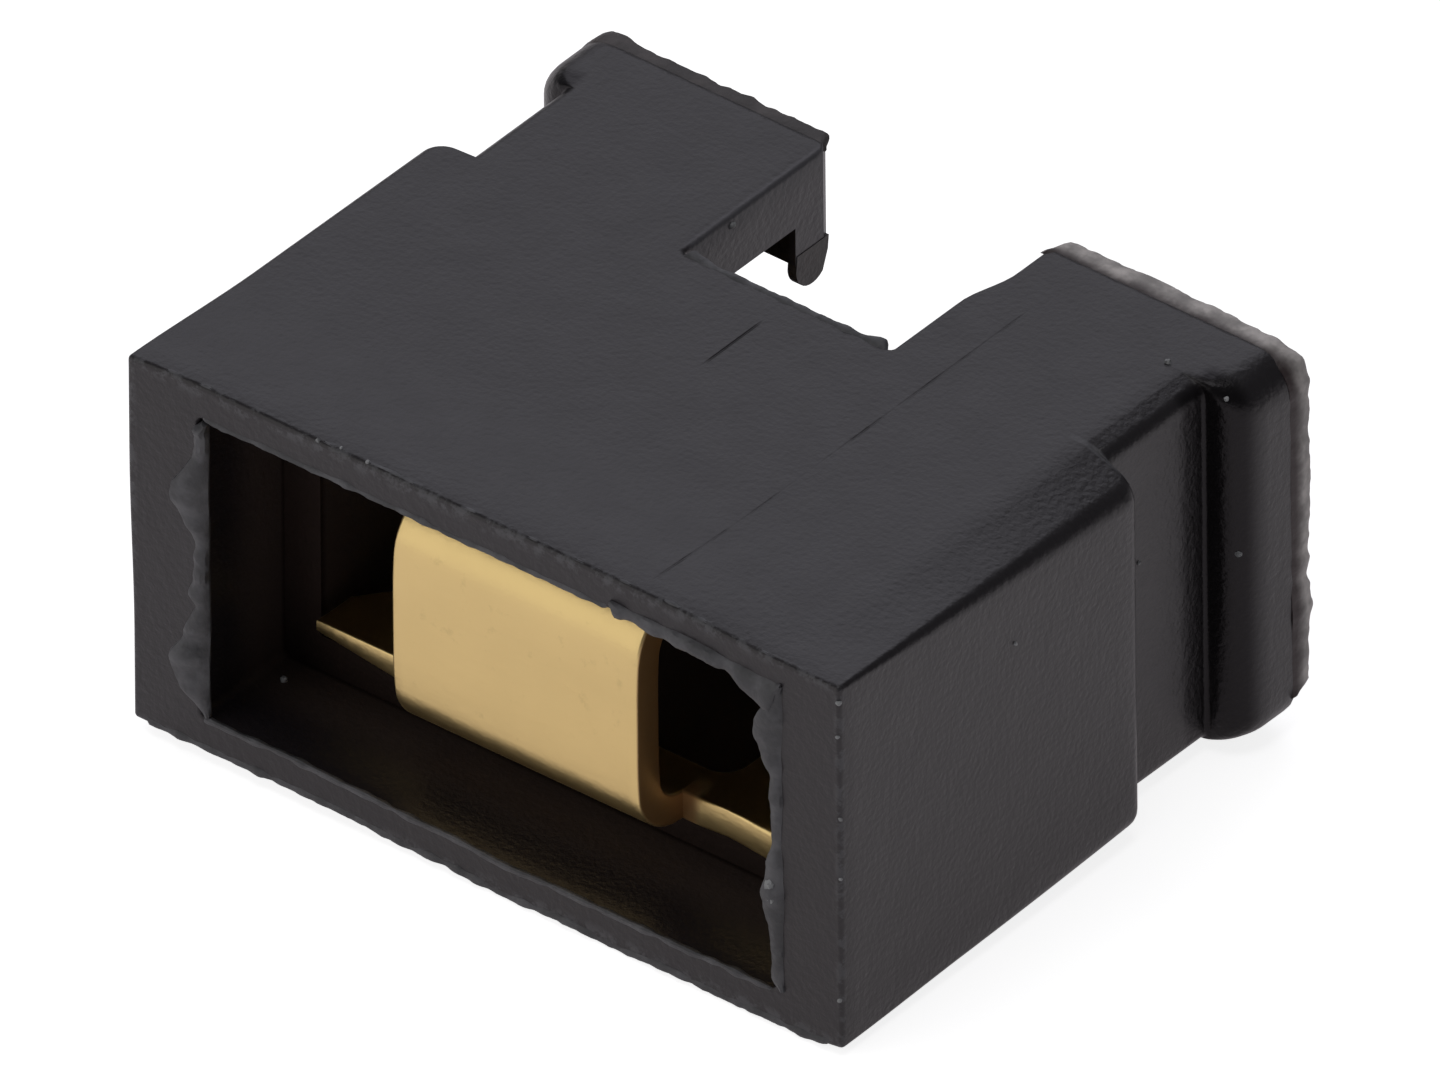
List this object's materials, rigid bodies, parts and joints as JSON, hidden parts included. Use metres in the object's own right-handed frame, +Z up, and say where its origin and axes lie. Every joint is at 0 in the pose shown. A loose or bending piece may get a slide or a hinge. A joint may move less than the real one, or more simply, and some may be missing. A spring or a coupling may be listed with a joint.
{
  "type": "jumper shunt",
  "caption": "Low-profile shunt that bridges neighbouring header posts: a black moulded housing with an open front and eared rear, holding a folded brass spring contact.",
  "frame": {"origin": "under the middle of the housing's box, on the rest face", "axes": "+X across the two posts, +Y from the open front towards the tips of the ears, +Z up out of the rest face"},
  "size_m": [0.0052, 0.004, 0.0025],
  "materials": {
    "black_plastic": "fine satin moulding, near black",
    "brass_sheet": "satin rolled sheet, pale gold"
  },
  "bodies": {
    "root": {"housing": "black_plastic", "contact": "brass_sheet"}
  },
  "joints": []
}
